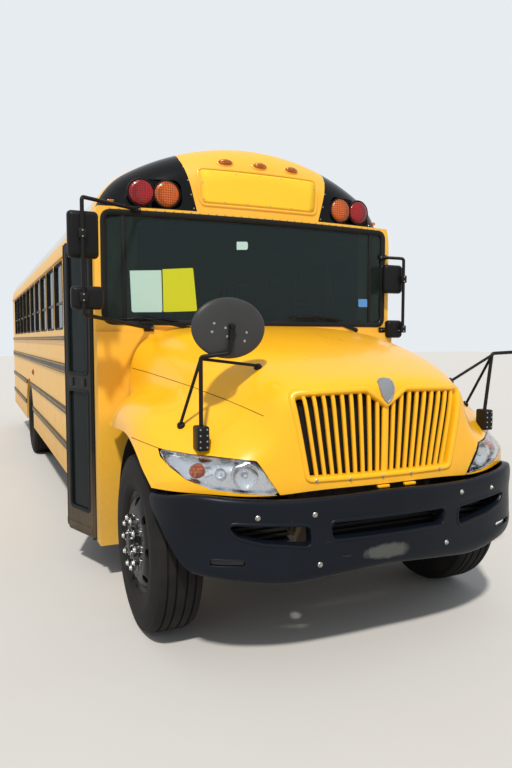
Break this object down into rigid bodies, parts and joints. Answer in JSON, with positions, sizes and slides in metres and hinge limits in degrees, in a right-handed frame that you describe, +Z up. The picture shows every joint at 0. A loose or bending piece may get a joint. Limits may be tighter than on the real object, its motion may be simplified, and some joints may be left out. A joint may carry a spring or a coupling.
{
  "type": "school bus",
  "caption": "Conventional school bus with tilting hood, steered front wheels, twin rear wheels, two-leaf entrance door, rear emergency door, roof hatch and bench seats.",
  "frame": {"origin": "on the ground, on the centre line, halfway between the bumpers' faces", "axes": "-Y forward, +X towards the driver's side, +Z up"},
  "size_m": [2.9798, 10.9714, 3.19],
  "materials": {
    "yellow_paint": "slightly faded yellow-orange coach enamel",
    "hood_paint": "newer, glossier yellow-orange enamel",
    "white_paint": "white roof enamel, dusty",
    "black_gloss": "gloss black visor",
    "black_paint": "satin black enamel",
    "chassis_black": "dusty chassis black",
    "engine_grey": "painted cast iron, dusty",
    "bare_steel": "heat-stained steel",
    "bumper_plastic": "moulded blue-black bumper skin, scuffed",
    "clear_lens": "clear moulded lens",
    "red_lens": "red moulded lens",
    "amber_lens": "amber moulded lens",
    "dark_glass": "tinted safety glass",
    "mirror_black": "black moulded mirror shells on painted tube",
    "cabin_plastic": "grained black plastic",
    "seat_vinyl": "grained vinyl",
    "rubber_floor": "ribbed rubber flooring on steel",
    "tyre_rubber": "worn tyre rubber",
    "wheel_black": "black painted steel wheel",
    "red_paint": "red reflective sheet, blank"
  },
  "bodies": {
    "coach": {"body_glass": "dark_glass", "cowl": "yellow_paint", "dashboard": "cabin_plastic", "engine": "engine_grey", "exhaust": "bare_steel", "floor": "rubber_floor", "frame_rails": "chassis_black", "front_axle": "chassis_black", "front_bumper": "bumper_plastic", "front_cap": "yellow_paint", "lamps_amber": "amber_lens", "lamps_red": "red_lens", "leaf_springs": "chassis_black", "mirrors": "mirror_black", "rear_axle": "chassis_black", "rear_bumper": "black_paint", "rear_wall": "yellow_paint", "roof_panel": "white_paint", "roof_side_rails": "yellow_paint", "rub_rails": "black_paint", "seat_legs": "chassis_black", "seats": "seat_vinyl", "side_sashes": "black_paint", "side_wall_left": "yellow_paint", "side_wall_right": "yellow_paint", "stepwell": "rubber_floor", "underfloor_boxes": "chassis_black", "visor_panels": "black_gloss", "windshield": "dark_glass", "windshield_frame": "yellow_paint"},
    "hood_assembly": {"hood": "hood_paint", "grille": "hood_paint", "headlights": "clear_lens", "crossview_mirrors": "mirror_black"},
    "steering_right": {"knuckle_right": "chassis_black"},
    "steering_left": {"knuckle_left": "chassis_black"},
    "tie_rod_body": {"tie_rod": "chassis_black"},
    "front_wheel_right": {"wheel_front_right": "wheel_black", "tyre_front_right": "tyre_rubber"},
    "front_wheel_left": {"wheel_front_left": "wheel_black", "tyre_front_left": "tyre_rubber"},
    "rear_wheels_right": {"wheel_rear_right": "wheel_black", "tyre_rear_right": "tyre_rubber"},
    "rear_wheels_left": {"wheel_rear_left": "wheel_black", "tyre_rear_left": "tyre_rubber"},
    "door_leaf_front": {"door_front": "black_paint", "door_front_glass": "dark_glass"},
    "door_leaf_rear": {"door_rear": "black_paint", "door_rear_glass": "dark_glass"},
    "stop_sign_arm": {"stop_arm": "red_paint"},
    "emergency_door": {"rear_door": "yellow_paint", "rear_door_glass": "dark_glass"},
    "escape_hatch": {"roof_hatch": "white_paint"}
  },
  "joints": [
    {"name": "hood_tilt", "type": "hinge", "parent": "coach", "child": "hood_assembly", "pos_m": [0, -5.255, 1.015], "axis": [1, 0, 0], "range_deg": [0, 65]},
    {"name": "steer_right", "type": "hinge", "parent": "coach", "child": "steering_right", "pos_m": [-0.9, -4.545, 0.515], "axis": [0, 0, 1], "range_deg": [-42, 42]},
    {"name": "steer_left", "type": "hinge", "parent": "coach", "child": "steering_left", "pos_m": [0.9, -4.545, 0.515], "axis": [0, 0, 1], "range_deg": [-42, 42]},
    {"name": "tie_rod_pivot", "type": "hinge", "parent": "steering_right", "child": "tie_rod_body", "pos_m": [-0.9, -4.355, 0.423], "axis": [0, 0, 1], "range_deg": [-42, 42]},
    {"name": "front_right_spin", "type": "hinge", "parent": "steering_right", "child": "front_wheel_right", "pos_m": [-1.015, -4.545, 0.515], "axis": [1, 0, 0], "continuous": true},
    {"name": "front_left_spin", "type": "hinge", "parent": "steering_left", "child": "front_wheel_left", "pos_m": [1.015, -4.545, 0.515], "axis": [1, 0, 0], "continuous": true},
    {"name": "rear_right_spin", "type": "hinge", "parent": "coach", "child": "rear_wheels_right", "pos_m": [-0.8945, 1.907, 0.515], "axis": [1, 0, 0], "continuous": true},
    {"name": "rear_left_spin", "type": "hinge", "parent": "coach", "child": "rear_wheels_left", "pos_m": [0.8945, 1.907, 0.515], "axis": [1, 0, 0], "continuous": true},
    {"name": "door_front_swing", "type": "hinge", "parent": "coach", "child": "door_leaf_front", "pos_m": [-1.212, -3.617, 1.3], "axis": [0, 0, 1], "range_deg": [-19, 71]},
    {"name": "door_rear_swing", "type": "hinge", "parent": "coach", "child": "door_leaf_rear", "pos_m": [-1.212, -2.867, 1.3], "axis": [0, 0, -1], "range_deg": [-19, 71]},
    {"name": "stop_arm_swing", "type": "hinge", "parent": "coach", "child": "stop_sign_arm", "pos_m": [1.243, -3.511, 1.24], "axis": [0, 0, -1], "range_deg": [0, 90]},
    {"name": "emergency_door_swing", "type": "hinge", "parent": "coach", "child": "emergency_door", "pos_m": [-0.334, 5.437, 1.5], "axis": [0, 0, 1], "range_deg": [0, 110]},
    {"name": "hatch_tilt", "type": "hinge", "parent": "coach", "child": "escape_hatch", "pos_m": [0, -0.915, 3.172], "axis": [1, 0, 0], "range_deg": [0, 60]}
  ],
  "couplings": [
    {"joint": "steer_left", "follows": "steer_right", "ratio": 1},
    {"joint": "tie_rod_pivot", "follows": "steer_right", "ratio": -1}
  ]
}
